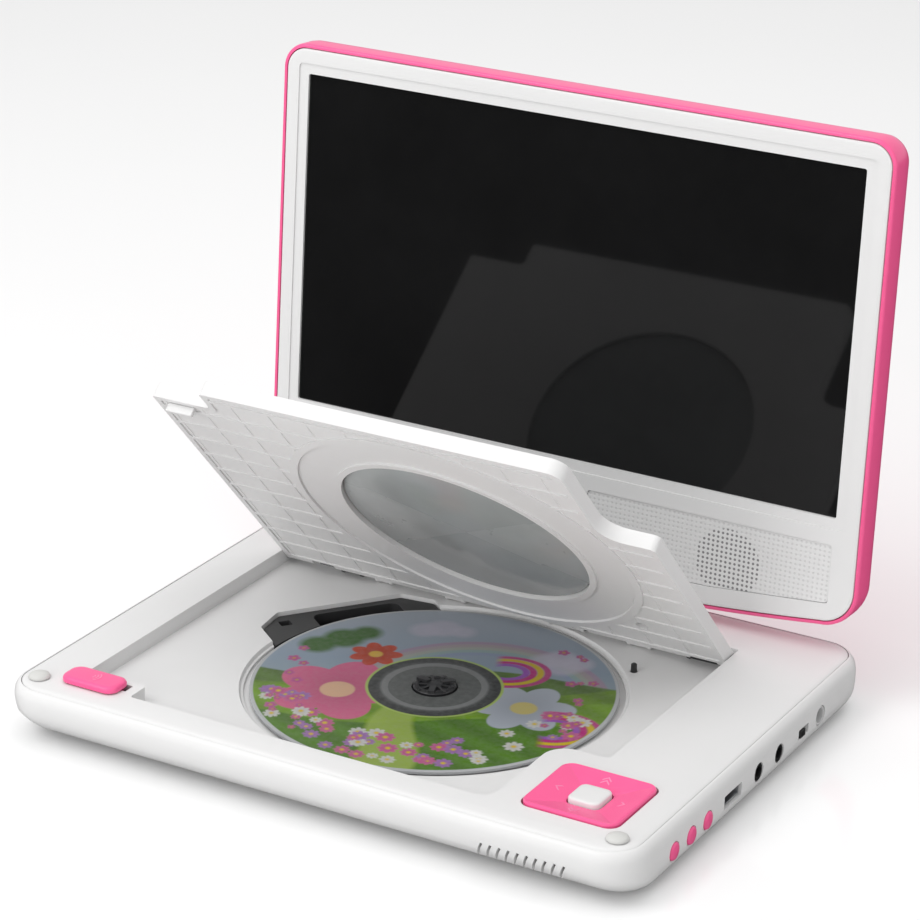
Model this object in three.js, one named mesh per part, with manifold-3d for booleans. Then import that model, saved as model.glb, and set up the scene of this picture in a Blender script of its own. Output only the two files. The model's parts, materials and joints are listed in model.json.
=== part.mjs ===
// Portable DVD player: base with a top-loading disc bay, hinged lid, and a screen on a swivel hinge.
// Millimetres, +Z up, +X to the player's right, +Y to its rear. Origin: centre of the base, on the table.
import * as THREE from 'three';
import { mergeVertices } from 'three/addons/utils/BufferGeometryUtils.js';
import Module from 'manifold-3d';

const wasm = await Module();
wasm.setup();

// ---- driving dimensions ----
const GAP = 0.3;
const BASE_W = 227;
const BASE_D = 173;
const BASE_CORNER = 13;
const FOOT_H = 1.2;
const DECK_Z = 19.7;
const RIM_Z = 19;
const SEAM_INSET = 2.2;

const RECESS_LEFT = -93.8;
const RECESS_RIGHT = 78.3;
const RECESS_FRONT = -73;
const RECESS_REAR = 60.4;
const RECESS_FLOOR = 14.2;
const STEP_X = 59.5;
const STEP_Y = -31.5;
const LATCH_STEP_X = -71.5;
const LATCH_STEP_Y = -63.4;
const STEP_R = 8;
const LID_CLEARANCE = 0.5;
const LID_THICK = 5.2;
const LID_SKIN = 1.5;
const LID_OPEN = 47.2;
const LID_REAR = 1.6;
const WINDOW_R = 43;
const LID_HINGE_Y = 56;
const LID_HINGE_Z = 16.7;

const DISC_X = 1.1;
const DISC_Y = -5.6;
const DISC_R = 60;
const DISC_T = 1.2;
const DISC_TOP = 13.9;
const DISC_HOLE_R = 7.5;
const WELL_R = 62;
const WELL_FLOOR = 11.9;
const TRAY_BOTTOM = 10.6;

const SLED_ANGLE = 142;
const TRAVERSE = { back: -27, reach: 71.7, low: -25, high: 38, cut: 9 };
const SLED_HOME = 24;
const ROD_Z = 6.6;

const SCREEN_TILT = 4;
const PIVOT_Y = 81.3;
const PIVOT_Z = 30;
const SCREEN_HALF_W = 113.3;
const SCREEN_TOP = 162.3;
const SCREEN_BOTTOM = -7.8;
const SCREEN_BOW = 6.3e-4;
const SCREEN_CORNER = 13;
const SCREEN_FRONT = 8.3;
const SCREEN_T = 16;
const BEZEL_T = 2.7;
const LCD_W = 206.6;
const LCD_H = 116.2;
const LCD_BOTTOM = 35.9;
const NOTCH_HALF_W = 24.5;
const NOTCH_TOP = 8.8;

const SWIVEL_Y = 72.4;
const TURRET_R = 7;
const HEAD_R = 7.5;
const HEAD_HALF_W = 23.5;
const SHAFT_R = 2;

const HALF_W = BASE_W / 2;
const HALF_D = BASE_D / 2;
const PORT_Z = 9.7;
const BUTTON_Z = 9.2;
const BUTTON_R = 2.9;
const BUTTON_YS = [-56.5, -45, -33.8];
const USB = { y: -16.4, w: 12.2, h: 4.6 };
const JACK_R = 2.9;
const JACK_YS = [2.2, 17.3];
const SWITCH = { y: 35.5, w: 7.4, h: 3.2 };
const KNOB_TRAVEL = 3;
const DC = { y: 48.6, r: 3.2 };
const SOCKET_BACK = 99;
const WALL_INSIDE = HALF_W - 3.3;

const NAV = { x: 84.7, y: -56.3, w: 32.4, d: 30.8, r: 4.2 };
const KEY = { w: 10.8, d: 11.4, r: 2.4 };
const SLIDER = { x0: -97, x1: -76, y0: -76.3, y1: -65.7, r: 3.6, travel: 3 };
const BUMPER = { x: 104.4, y: -76.4, r: 3.4 };
const LID_PIN = { x: 51.2, y: 38, r: 1 };
const HOOK = { x0: -88, x1: -78, y0: -60.6, y1: -59 };
const SCREWS = [[-105.5, -66], [105.5, -66], [-98, 66], [98, 66]];
const FEET = [[-88, -60], [88, -60], [-88, 66], [88, 66]];

// ---- materials ----
function paint(color, roughness, metalness = 0) {
  return new THREE.MeshStandardMaterial({ color, roughness, metalness });
}
const WHITE = paint(0xebebeb, 0.42);
const PINK = paint(0xf4649f, 0.38);
const DARK = paint(0x464648, 0.55);
const BLACK = paint(0x161618, 0.45);
const LCD_BLACK = paint(0x0c0c0e, 0.12);
const SMOKE = paint(0x7d8585, 0.25);
const STEEL = paint(0xb9bcc0, 0.28, 1);
const BRASS = paint(0xc9a35a, 0.35, 1);
const RUBBER = paint(0xb9bab6, 0.8);
const BOARD = paint(0x1d6b3a, 0.6);
const BATTERY = paint(0x2c5fa8, 0.5);
const DISC_PRINT = paint(0xc8cdd2, 0.15, 0.6);
const LENS = paint(0xa8c4dc, 0.05);

// ---- geometry helpers ----
function solid(geometry) {
  const bare = geometry.clone();
  bare.deleteAttribute('normal');
  bare.deleteAttribute('uv');
  const merged = mergeVertices(bare, 1e-4);
  const mesh = new wasm.Mesh({
    numProp: 3,
    vertProperties: new Float32Array(merged.attributes.position.array),
    triVerts: new Uint32Array(merged.index.array),
  });
  return new wasm.Manifold(mesh);
}

function geometryOf(body) {
  const mesh = body.getMesh();
  const geometry = new THREE.BufferGeometry();
  geometry.setAttribute('position', new THREE.BufferAttribute(new Float32Array(mesh.vertProperties), 3));
  geometry.setIndex(new THREE.BufferAttribute(new Uint32Array(mesh.triVerts), 1));
  geometry.computeVertexNormals();
  return geometry;
}

function cut(geometry, ...tools) {
  let body = solid(geometry);
  for (const tool of tools) body = body.subtract(solid(tool));
  return geometryOf(body);
}

function join(...parts) {
  let body = solid(parts[0]);
  for (const part of parts.slice(1)) body = body.add(solid(part));
  return geometryOf(body);
}

function block(x0, x1, y0, y1, z0, z1) {
  const geometry = new THREE.BoxGeometry(x1 - x0, y1 - y0, z1 - z0);
  return geometry.translate((x0 + x1) / 2, (y0 + y1) / 2, (z0 + z1) / 2);
}

function plate(shape, z0, z1, curveSegments = 8) {
  const geometry = new THREE.ExtrudeGeometry(shape, { depth: z1 - z0, bevelEnabled: false, curveSegments });
  return geometry.translate(0, 0, z0);
}

function roundRect(x0, x1, y0, y1, r) {
  const shape = new THREE.Shape();
  shape.moveTo(x0 + r, y0);
  shape.lineTo(x1 - r, y0);
  shape.absarc(x1 - r, y0 + r, r, -Math.PI / 2, 0);
  shape.lineTo(x1, y1 - r);
  shape.absarc(x1 - r, y1 - r, r, 0, Math.PI / 2);
  shape.lineTo(x0 + r, y1);
  shape.absarc(x0 + r, y1 - r, r, Math.PI / 2, Math.PI);
  shape.lineTo(x0, y0 + r);
  shape.absarc(x0 + r, y0 + r, r, Math.PI, 1.5 * Math.PI);
  return shape;
}

// Rod or drum along Z from z0 to z1.
function drum(r, z0, z1, sides = 24, x = 0, y = 0) {
  const geometry = new THREE.CylinderGeometry(r, r, z1 - z0, sides);
  return geometry.rotateX(Math.PI / 2).translate(x, y, (z0 + z1) / 2);
}

function drumX(r, x0, x1, y, z, sides = 20) {
  const geometry = new THREE.CylinderGeometry(r, r, x1 - x0, sides);
  return geometry.rotateZ(Math.PI / 2).translate((x0 + x1) / 2, y, z);
}

// Solid of revolution about Z from a closed [radius, z] profile.
function turned(profile, sides = 32) {
  const points = profile.map(([r, z]) => new THREE.Vector2(r, z));
  return new THREE.LatheGeometry(points, sides).rotateX(Math.PI / 2);
}

// Closed skin through a stack of rings with the same number of points, capped at both ends.
function loft(rings) {
  const count = rings[0].length;
  const position = rings.flat(2);
  const index = [];
  for (let k = 0; k + 1 < rings.length; k += 1) {
    for (let i = 0; i < count; i += 1) {
      const j = (i + 1) % count;
      const [a, b] = [k * count + i, k * count + j];
      index.push(a, b, b + count, a, b + count, a + count);
    }
  }
  const outline = rings[0].map(([x, y]) => new THREE.Vector2(x, y));
  for (const [a, b, c] of THREE.ShapeUtils.triangulateShape(outline, [])) index.push(a, c, b);
  const last = (rings.length - 1) * count;
  const cap = rings[rings.length - 1].map(([x, y]) => new THREE.Vector2(x, y));
  for (const [a, b, c] of THREE.ShapeUtils.triangulateShape(cap, [])) {
    index.push(last + a, last + b, last + c);
  }
  const geometry = new THREE.BufferGeometry();
  geometry.setAttribute('position', new THREE.Float32BufferAttribute(position, 3));
  geometry.setIndex(index);
  return geometry;
}

// Counter-clockwise ring of a rounded rectangle at height z.
function rectRing(x0, x1, y0, y1, r, z, steps = 6) {
  const centres = [[x1 - r, y0 + r, -90], [x1 - r, y1 - r, 0], [x0 + r, y1 - r, 90], [x0 + r, y0 + r, 180]];
  const ring = [];
  for (const [cx, cy, start] of centres) {
    for (let i = 0; i <= steps; i += 1) {
      const a = THREE.MathUtils.degToRad(start + (90 * i) / steps);
      ring.push([cx + r * Math.cos(a), cy + r * Math.sin(a), z]);
    }
  }
  return ring;
}

// ---- assembly helpers ----
const player = new THREE.Group();
const lidGroup = new THREE.Group();
lidGroup.position.set(0, LID_HINGE_Y, LID_HINGE_Z);
lidGroup.rotation.x = THREE.MathUtils.degToRad(-LID_OPEN);
const screenGroup = new THREE.Group();
screenGroup.position.set(0, PIVOT_Y, PIVOT_Z);
screenGroup.rotation.x = THREE.MathUtils.degToRad(-SCREEN_TILT);
const traverseGroup = new THREE.Group();
traverseGroup.position.set(DISC_X, DISC_Y, 0);
traverseGroup.rotation.z = THREE.MathUtils.degToRad(SLED_ANGLE);
player.add(lidGroup, screenGroup, traverseGroup);

function add(name, geometry, material, group = player) {
  const mesh = new THREE.Mesh(geometry, material);
  mesh.name = name;
  group.add(mesh);
}

// ---- base shell ----
// Each ring: height, then inset from the side, the front and the rear.
const CASE_OUTSIDE = [
  [FOOT_H, 5, 10, 7],
  [3.6, 1.8, 5.8, 2.6],
  [7.4, 0.2, 2.6, 0.4],
  [12, 0, 0.4, 0],
  [15.6, 0, 0, 0.5],
  [18, 0.6, 0.6, 2],
  [RIM_Z, 2, 2, 3],
];
const CASE_INSIDE = [
  [RIM_Z, SEAM_INSET, SEAM_INSET, SEAM_INSET + 1],
  [11, 2.2, 2.6, 3.4],
  [6.4, 2.8, 5.6, 3.8],
  [3.2, 5.6, 10, 7],
];

function caseRing([z, side, front, rear]) {
  const x = HALF_W - side;
  const r = Math.max(BASE_CORNER - Math.min(side, front, rear), 3);
  return rectRing(-x, x, front - HALF_D, HALF_D - rear, r, z);
}

function bottomCase() {
  const rings = [...CASE_OUTSIDE, ...CASE_INSIDE].map(caseRing);
  const [x0, x1] = [HALF_W - 6, HALF_W + 3];
  const tools = [];
  for (let i = 0; i < 10; i += 1) {
    const vent = block(-0.45, 0.45, -6, 6, -4.4, 4.4).rotateY(0.5);
    tools.push(vent.translate(62 + i * 3.1, 2.5 - HALF_D, 8));
  }
  for (const y of BUTTON_YS) tools.push(drumX(BUTTON_R + GAP, x0, x1, y, BUTTON_Z));
  for (const { y, w, h } of [USB, SWITCH]) {
    tools.push(block(x0, x1, y - w / 2, y + w / 2, PORT_Z - h / 2, PORT_Z + h / 2));
  }
  for (const y of JACK_YS) tools.push(drumX(JACK_R + GAP, x0, x1, y, PORT_Z));
  tools.push(drumX(DC.r + GAP, x0, x1, DC.y, PORT_Z));
  for (const [x, y] of SCREWS) {
    tools.push(drum(1.7, 0, 6, 12, x, y));
    tools.push(drum(3.1, 0, 2.4, 16, x, y));
  }
  for (const [x, y] of FEET) tools.push(drum(5.3, 0, 2, 20, x, y));
  return cut(loft(rings), ...tools);
}

// Outline of the lid bay; the lid uses the same outline, set in by its clearance.
function bayShape(inset, rear = RECESS_REAR) {
  const [x0, x1, y0] = [RECESS_LEFT + inset, RECESS_RIGHT - inset, RECESS_FRONT + inset];
  const [lx, ly] = [LATCH_STEP_X + inset, LATCH_STEP_Y + inset];
  const [sx, sy] = [STEP_X - inset, STEP_Y + inset];
  const r = 5;
  const shape = new THREE.Shape();
  shape.moveTo(x0, ly);
  shape.lineTo(lx - 2, ly);
  shape.absarc(lx - 2, ly - 2, 2, Math.PI / 2, 0, true);
  shape.lineTo(lx, y0);
  shape.lineTo(sx - r, y0);
  shape.absarc(sx - r, y0 + r, r, -Math.PI / 2, 0);
  shape.lineTo(sx, sy - STEP_R);
  shape.absarc(sx + STEP_R, sy - STEP_R, STEP_R, Math.PI, Math.PI / 2, true);
  shape.lineTo(x1 - 2, sy);
  shape.lineTo(x1, sy + 2);
  shape.lineTo(x1, rear);
  shape.lineTo(x0, rear);
  return shape;
}

// Outline of the traverse opening in sled axes: x runs outward from the disc centre.
function traverseShape(inset) {
  const { back, reach, low, high, cut: c } = TRAVERSE;
  const shape = new THREE.Shape();
  shape.moveTo(back + inset, low + inset);
  shape.lineTo(reach - c, low + inset);
  shape.lineTo(reach - inset, low + c);
  shape.lineTo(reach - inset, high - c);
  shape.lineTo(reach - c, high - inset);
  shape.lineTo(back + inset, high - inset);
  return shape;
}

function topDeck() {
  const inset = SEAM_INSET + GAP;
  const [hx, hy] = [HALF_W - inset, HALF_D - inset];
  const r = BASE_CORNER - inset;
  const crown = loft([
    rectRing(-hx, hx, -hy, hy - 1, r, 17.6),
    rectRing(-hx, hx, -hy, hy - 1, r, RIM_Z + 0.1),
    rectRing(-hx + 1.2, hx - 1.2, -hy + 1.2, hy - 6, r - 1, DECK_Z),
  ]);
  const parts = [crown, plate(bayShape(-1.6, RECESS_REAR + 1.6), TRAY_BOTTOM, 18)];
  parts.push(drum(TURRET_R + 3.3, 12, DECK_Z + 0.5, 32, 0, SWIVEL_Y));
  for (const [x, y] of SCREWS) parts.push(drum(3.2, 5.5, 18, 12, x, y));
  const opening = plate(traverseShape(0), 5, 18);
  opening.rotateZ(THREE.MathUtils.degToRad(SLED_ANGLE)).translate(DISC_X, DISC_Y, 0);
  const [nw, nd] = [NAV.w / 2 + 0.5, NAV.d / 2 + 0.5];
  const tools = [
    plate(bayShape(0), RECESS_FLOOR, DECK_Z + 3),
    drum(WELL_R, WELL_FLOOR, DECK_Z, 72, DISC_X, DISC_Y),
    drum(WELL_R + 1.4, RECESS_FLOOR - 0.6, DECK_Z, 72, DISC_X, DISC_Y),
    opening,
    plate(roundRect(NAV.x - nw, NAV.x + nw, NAV.y - nd, NAV.y + nd, NAV.r), 5, 25),
    block(SLIDER.x0 + 8, SLIDER.x1 + SLIDER.travel + 0.5, -70.6, -66.2, 10, 25),
    drum(TURRET_R + GAP, 5, 25, 32, 0, SWIVEL_Y),
    drum(LID_PIN.r + GAP, 5, 25, 12, LID_PIN.x, LID_PIN.y),
    block(HOOK.x0 - 1, HOOK.x1 + 1, HOOK.y0 - 1, HOOK.y1 + 1.4, 5, 18),
    drumX(1.3, RECESS_LEFT - 4, RECESS_LEFT + 1, LID_HINGE_Y, LID_HINGE_Z, 12),
    drumX(1.3, RECESS_RIGHT - 1, RECESS_RIGHT + 4, LID_HINGE_Y, LID_HINGE_Z, 12),
  ];
  for (const side of [-1, 1]) tools.push(drum(1.2, 15, 25, 12, side * BUMPER.x, BUMPER.y));
  for (const [x, y] of SCREWS) tools.push(drum(1.7, 5, 15, 12, x, y));
  return cut(join(...parts), ...tools);
}

add('bottom_case', bottomCase(), WHITE);
add('top_deck', topDeck(), WHITE);

const BUMPER_PROFILE = [
  [0, 17.9], [0.9, 17.9], [0.9, 20], [BUMPER.r, 20],
  [BUMPER.r - 0.1, 20.6], [2.6, 21.2], [1.4, 21.5], [0, 21.6],
];
for (const [side, label] of [[-1, 'left'], [1, 'right']]) {
  add(`bumper_${label}`, turned(BUMPER_PROFILE, 20).translate(side * BUMPER.x, BUMPER.y, 0), RUBBER);
}
FEET.forEach(([x, y], i) => add(`foot_${i + 1}`, drum(5, 0, 1.7, 20, x, y), RUBBER));
SCREWS.forEach(([x, y], i) => {
  const profile = [[0, 1.5], [2.7, 1.5], [2.7, 2.1], [1.4, 2.1], [1.4, 12], [0, 13]];
  add(`case_screw_${i + 1}`, turned(profile, 12).translate(x, y, 0), STEEL);
});

// ---- drive, in sled axes ----
function rod(r, x0, x1, y, z, sides = 12) {
  return drumX(r, x0, x1, y, z, sides);
}

function traversePlate() {
  const body = join(plate(traverseShape(0.6), 9.4, 10.6), block(69.2, 70.9, -14, 26, 4.6, 10));
  return cut(body, block(16, 66, -12.5, 12.5, 3, 12), drum(8, 3, 12, 24), block(40, 48, 24, 30, 8, 12));
}

function opticalSled() {
  const body = join(
    block(-9, 9, -17.5, 17.5, 4.4, 8.9),
    block(-6, 6, -11, 11, 8, 10.4),
    block(-5, 5, 17, 20, 5, 8.2),
  );
  const holes = [-15, 15].map((y) => rod(1.3, -12, 12, y, ROD_Z));
  return cut(body, ...holes).translate(SLED_HOME, 0, 0);
}

add('traverse_plate', traversePlate(), DARK, traverseGroup);
add('optical_sled', opticalSled(), BLACK, traverseGroup);
add('objective_lens', drum(2.4, 10.7, 11.5, 20, SLED_HOME, 0), LENS, traverseGroup);
add('guide_rod_inner', rod(1, 8, 68.9, -15, ROD_Z), STEEL, traverseGroup);
add('guide_rod_outer', rod(1, 8, 68.9, 15, ROD_Z), STEEL, traverseGroup);
add('lead_screw', rod(1.2, 4.2, 68.9, 21.5, ROD_Z), BRASS, traverseGroup);
add('sled_motor', rod(2.6, -9, 3.9, 21.5, ROD_Z, 20), STEEL, traverseGroup);

const MOTOR_PROFILE = [[0, 3.6], [11, 3.6], [11, 9.1], [0.9, 9.1], [0.9, 12], [0, 12]];
add('spindle_motor', turned(MOTOR_PROFILE, 28).translate(DISC_X, DISC_Y, 0), STEEL);

function turntable() {
  const [seat, rim, crown] = [DISC_TOP - DISC_T - GAP, DISC_TOP + 0.4, DISC_TOP + 1.1];
  const hub = turned([
    [0, 12.3], [1.2, 12.3], [1.2, 11.1], [12.4, 11.1], [12.4, seat], [7.1, seat],
    [7.1, rim], [5.8, crown], [2.6, crown], [2.6, rim], [0, rim],
  ], 36);
  const claws = [0, 120, 240].map((a) => {
    const claw = block(4.6, 7, -1, 1, DISC_TOP - 0.4, DISC_TOP + 1.8);
    return claw.rotateZ(THREE.MathUtils.degToRad(a + 50));
  });
  return join(hub, ...claws).translate(DISC_X, DISC_Y, 0);
}

add('turntable', turntable(), DARK);
const DISC_UNDER = DISC_TOP - DISC_T;
const DISC_PROFILE = [
  [DISC_HOLE_R, DISC_UNDER], [DISC_R, DISC_UNDER], [DISC_R, DISC_TOP], [DISC_HOLE_R, DISC_TOP],
  [DISC_HOLE_R, DISC_UNDER],
];
add('disc', turned(DISC_PROFILE, 72).translate(DISC_X, DISC_Y, 0), DISC_PRINT);

// ---- electronics ----
add('main_board', block(66, 106, -28.5, 56, 4.2, 5.6), BOARD);
add('battery_pack', plate(roundRect(-58, 40, -75, -54.5, 3), 3.7, 10), BATTERY);
add('key_board', block(103, 104.2, -61, -29, 5.6, 13), BOARD);
add('lid_switch', block(-4, 4, -3, 3, 3.6, 6.2).translate(LID_PIN.x, LID_PIN.y, 0), BLACK);

function usbSocket() {
  const [w, h] = [USB.w / 2, USB.h / 2];
  const shell = block(SOCKET_BACK, HALF_W - 1, GAP - w, w - GAP, GAP - h, h - GAP);
  const throat = block(SOCKET_BACK + 2, HALF_W, 0.8 - w, w - 0.8, 0.8 - h, h - 0.8);
  const tongue = block(SOCKET_BACK + 1, HALF_W - 2, 2.2 - w, w - 2.2, 0.1, 1.1);
  return join(cut(shell, throat), tongue).translate(0, USB.y, PORT_Z);
}

function jack(y, noseR, boreR, pinR) {
  const box = block(SOCKET_BACK, WALL_INSIDE, y - 4.6, y + 4.6, 6, 13.4);
  const nose = drumX(noseR, WALL_INSIDE - 1, HALF_W - 0.3, y, PORT_Z);
  const bore = drumX(boreR, SOCKET_BACK + 2, HALF_W + 1, y, PORT_Z);
  const body = cut(join(box, nose), bore);
  return pinR ? join(body, drumX(pinR, SOCKET_BACK + 1, HALF_W - 1.5, y, PORT_Z, 10)) : body;
}

add('usb_socket', usbSocket(), STEEL);
add('av_jack', jack(JACK_YS[0], JACK_R, 1.8, 0), BLACK);
add('headphone_jack', jack(JACK_YS[1], JACK_R, 1.8, 0), BLACK);
add('dc_inlet', jack(DC.y, DC.r, 2.6, 0.6), RUBBER);

const knobY = SWITCH.y - KNOB_TRAVEL / 2;
add('power_switch', block(102, 107.6, SWITCH.y - 5.5, SWITCH.y + 5.5, 6.4, 13), BLACK);
add('power_knob', join(
  block(107.9, 109.6, knobY - 4, knobY + 4, 7.6, 11.8),
  block(109, HALF_W + 0.5, knobY - 1.8, knobY + 1.8, PORT_Z - 1.2, PORT_Z + 1.2),
), BLACK);

// ---- keys ----
BUTTON_YS.forEach((y, i) => {
  const button = join(
    drumX(BUTTON_R + 0.9, 106, 107.4, y, BUTTON_Z),
    drumX(BUTTON_R, 107, HALF_W + 0.1, y, BUTTON_Z),
    drumX(BUTTON_R - 0.5, HALF_W, HALF_W + 0.6, y, BUTTON_Z),
  );
  add(`side_key_${i + 1}`, button, PINK);
});

function centred(w, d, r, z) {
  return rectRing(NAV.x - w / 2, NAV.x + w / 2, NAV.y - d / 2, NAV.y + d / 2, r, z, 4);
}

function navPad() {
  const { w, d, r } = NAV;
  const pad = loft([
    centred(w, d, r, 14.8),
    centred(w, d, r, 20.3),
    centred(w - 1, d - 1, r - 0.4, 20.8),
    centred(KEY.w + 2, KEY.d + 2, KEY.r, 19.2),
  ]);
  const flange = loft([centred(w + 2, d + 2, r + 1, 14.8), centred(w + 2, d + 2, r + 1, 16.3)]);
  const hole = loft([centred(KEY.w + 1, KEY.d + 1, KEY.r, 12), centred(KEY.w + 1, KEY.d + 1, KEY.r, 24)]);
  return cut(join(pad, flange), hole);
}

add('nav_gimbal', cut(
  loft([centred(28, 26, 3, 12.6), centred(28, 26, 3, 14.2)]),
  loft([centred(20, 18, 3, 12), centred(20, 18, 3, 15)]),
), BLACK);
add('nav_pad', navPad(), PINK);
add('enter_key', loft([
  centred(KEY.w, KEY.d, KEY.r, 15.4),
  centred(KEY.w, KEY.d, KEY.r, 19.9),
  centred(KEY.w - 1.4, KEY.d - 1.4, KEY.r - 0.5, 20.4),
]), WHITE);

function sliderOutline(inset) {
  const { x0, x1, y0, y1, r } = SLIDER;
  return roundRect(x0 + inset, x1 - inset, y0 + inset, y1 - inset, r - inset);
}

add('open_slider', join(
  plate(sliderOutline(0), 20, 21.6, 4),
  plate(sliderOutline(0.8), 21, 22.2, 4),
  block(SLIDER.x0 + 9, SLIDER.x1 - 0.6, -70.2, -66.6, 15, 21),
  block(SLIDER.x0 + 5, SLIDER.x1 - 0.4, -74, -66.4, 14.2, 16.6),
), PINK);

const PIN_PROFILE = [
  [0, 8.6], [2, 8.6], [2, 9.8], [LID_PIN.r, 9.8], [LID_PIN.r, 16.8], [0.5, 17.2], [0, 17.2],
];
add('lid_detect_pin', turned(PIN_PROFILE, 12).translate(LID_PIN.x, LID_PIN.y, 0), BLACK);

// ---- lid, drawn shut with its hinge axis at the origin ----
const LID_TOP = DECK_Z - LID_HINGE_Z;
const LID_UNDER = LID_TOP - LID_THICK;
const SKIN_Z = LID_TOP - LID_SKIN;
const WINDOW_Y = DISC_Y - LID_HINGE_Y;

function tube(outer, inner, z0, z1, sides = 56) {
  const ring = turned([[inner, z0], [outer, z0], [outer, z1], [inner, z1], [inner, z0]], sides);
  return ring.translate(DISC_X, WINDOW_Y, 0);
}

function rib(x0, y0, x1, y1) {
  const length = Math.hypot(x1 - x0, y1 - y0);
  const bar = block(0, length, -0.5, 0.5, LID_UNDER + 0.8, SKIN_Z + 0.3);
  return bar.rotateZ(Math.atan2(y1 - y0, x1 - x0)).translate(x0, y0, 0);
}

function lidBody() {
  const outline = bayShape(LID_CLEARANCE, LID_HINGE_Y + LID_REAR);
  const inside = bayShape(LID_CLEARANCE + 1.4, LID_HINGE_Y - 1.2);
  const [x0, x1] = [RECESS_LEFT + LID_CLEARANCE, RECESS_RIGHT - LID_CLEARANCE];
  const slab = plate(outline, LID_UNDER, LID_TOP).translate(0, -LID_HINGE_Y, 0);
  const hollow = plate(inside, LID_UNDER - 1, SKIN_Z).translate(0, -LID_HINGE_Y, 0);
  const heel = block(x0 - 1, x1 + 1, -1.2, 3, LID_UNDER - 1, 0);
  const parts = [cut(slab, hollow, heel), drumX(1.6, x0, x1, 0, 0, 16)];
  for (const [outer, inner] of [[61, 59.6], [WINDOW_R + 3, WINDOW_R + 1]]) {
    parts.push(tube(outer, inner, LID_UNDER, SKIN_Z + 0.3));
  }
  for (let i = 0; i < 12; i += 1) {
    const a = THREE.MathUtils.degToRad(30 * i + 15);
    const [c, s] = [Math.cos(a), Math.sin(a)];
    parts.push(rib(DISC_X + 45 * c, WINDOW_Y + 45 * s, DISC_X + 60.3 * c, WINDOW_Y + 60.3 * s));
  }
  for (const y of [-105, -85, -65, -45, -25]) parts.push(rib(x0 + 0.8, y, -52, y + 12));
  const hook = block(HOOK.x0, HOOK.x1, HOOK.y0, HOOK.y1, LID_UNDER - 3, SKIN_Z + 0.3);
  parts.push(hook.translate(0, -LID_HINGE_Y, 0));
  const window = drum(WINDOW_R - 1.4, LID_UNDER - 2, LID_TOP + 2, 56, DISC_X, WINDOW_Y);
  const seat = drum(WINDOW_R + 0.3, LID_UNDER - 2, LID_TOP - 1.1, 56, DISC_X, WINDOW_Y);
  const bores = [[x0 - 1, x0 + 9], [x1 - 9, x1 + 1]].map(([a, b]) => drumX(1.3, a, b, 0, 0, 12));
  const springBay = block(-82.5, -73.5, -3.4, 4, LID_UNDER - 1, 1.6);
  return cut(join(...parts), window, seat, springBay, ...bores);
}

add('lid', lidBody(), WHITE, lidGroup);
add('lid_window', drum(WINDOW_R, -0.8, LID_TOP - 1.4, 56, DISC_X, WINDOW_Y), SMOKE, lidGroup);

function coil(turns, r, wire, x0, x1) {
  const points = [];
  const steps = turns * 12;
  for (let i = 0; i <= steps; i += 1) {
    const a = (2 * Math.PI * i) / 12;
    points.push(new THREE.Vector3(x0 + ((x1 - x0) * i) / steps, r * Math.cos(a), r * Math.sin(a)));
  }
  const section = new THREE.Shape();
  section.absarc(0, 0, wire, 0, 2 * Math.PI);
  const extrudePath = new THREE.CatmullRomCurve3(points);
  return new THREE.ExtrudeGeometry(section, { steps, curveSegments: 3, bevelEnabled: false, extrudePath });
}

add('lid_spring', coil(6, 1.15, 0.25, -81.5, -74.5), STEEL, lidGroup);
for (const [label, x0] of [['left', RECESS_LEFT - 3], ['right', RECESS_RIGHT - 8]]) {
  add(`hinge_pin_${label}`, drumX(1, x0, x0 + 11, LID_HINGE_Y, LID_HINGE_Z, 12), STEEL);
}

// ---- screen hinge ----
function hingeHead() {
  const turret = turned([[0, 9.2], [4.5, 9.2], [4.5, 11.8], [TURRET_R, 11.8], [TURRET_R, 22], [0, 22]], 32);
  const head = drumX(HEAD_R, -HEAD_HALF_W, HEAD_HALF_W, PIVOT_Y, PIVOT_Z, 28);
  const neck = block(-16, 16, 66.5, 85, 20.7, 26);
  const bore = drumX(SHAFT_R + GAP, -HEAD_HALF_W - 2, HEAD_HALF_W + 2, PIVOT_Y, PIVOT_Z, 16);
  return cut(join(turret.translate(0, SWIVEL_Y, 0), head, neck), bore);
}

add('hinge_head', hingeHead(), WHITE);
const RETAINER_PROFILE = [[4.8, 10], [9.6, 10], [9.6, 11.5], [4.8, 11.5], [4.8, 10]];
add('swivel_retainer', turned(RETAINER_PROFILE, 24).translate(0, SWIVEL_Y, 0), STEEL);

// ---- screen, drawn flat: x across, y up the screen, z towards the viewer ----
function screenRing(shrink, t) {
  const [w, top] = [SCREEN_HALF_W - shrink, SCREEN_TOP - shrink];
  const bottom = (x) => SCREEN_BOTTOM + SCREEN_BOW * x * x + shrink;
  const rTop = Math.max(9 - shrink, 2.5);
  const rLow = Math.max(SCREEN_CORNER - shrink, 4);
  const ring = [];
  const arc = (cx, cy, r, from, steps) => {
    for (let i = 0; i <= steps; i += 1) {
      const a = THREE.MathUtils.degToRad(from + (90 * i) / steps);
      ring.push([cx + r * Math.cos(a), cy + r * Math.sin(a), t]);
    }
  };
  arc(w - rTop, top - rTop, rTop, 0, 6);
  arc(rTop - w, top - rTop, rTop, 90, 6);
  arc(rLow - w, bottom(w - rLow) + rLow, rLow, 180, 6);
  for (let i = -5; i <= 5; i += 1) ring.push([i * 16, bottom(i * 16), t]);
  arc(w - rLow, bottom(w - rLow) + rLow, rLow, 270, 6);
  return ring;
}

function stand(geometry) {
  return geometry.rotateX(Math.PI / 2);
}

const FRONT = SCREEN_FRONT;
const REAR = SCREEN_FRONT - SCREEN_T;
const notch = () => block(-NOTCH_HALF_W, NOTCH_HALF_W, -30, NOTCH_TOP, -30, 30);

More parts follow.
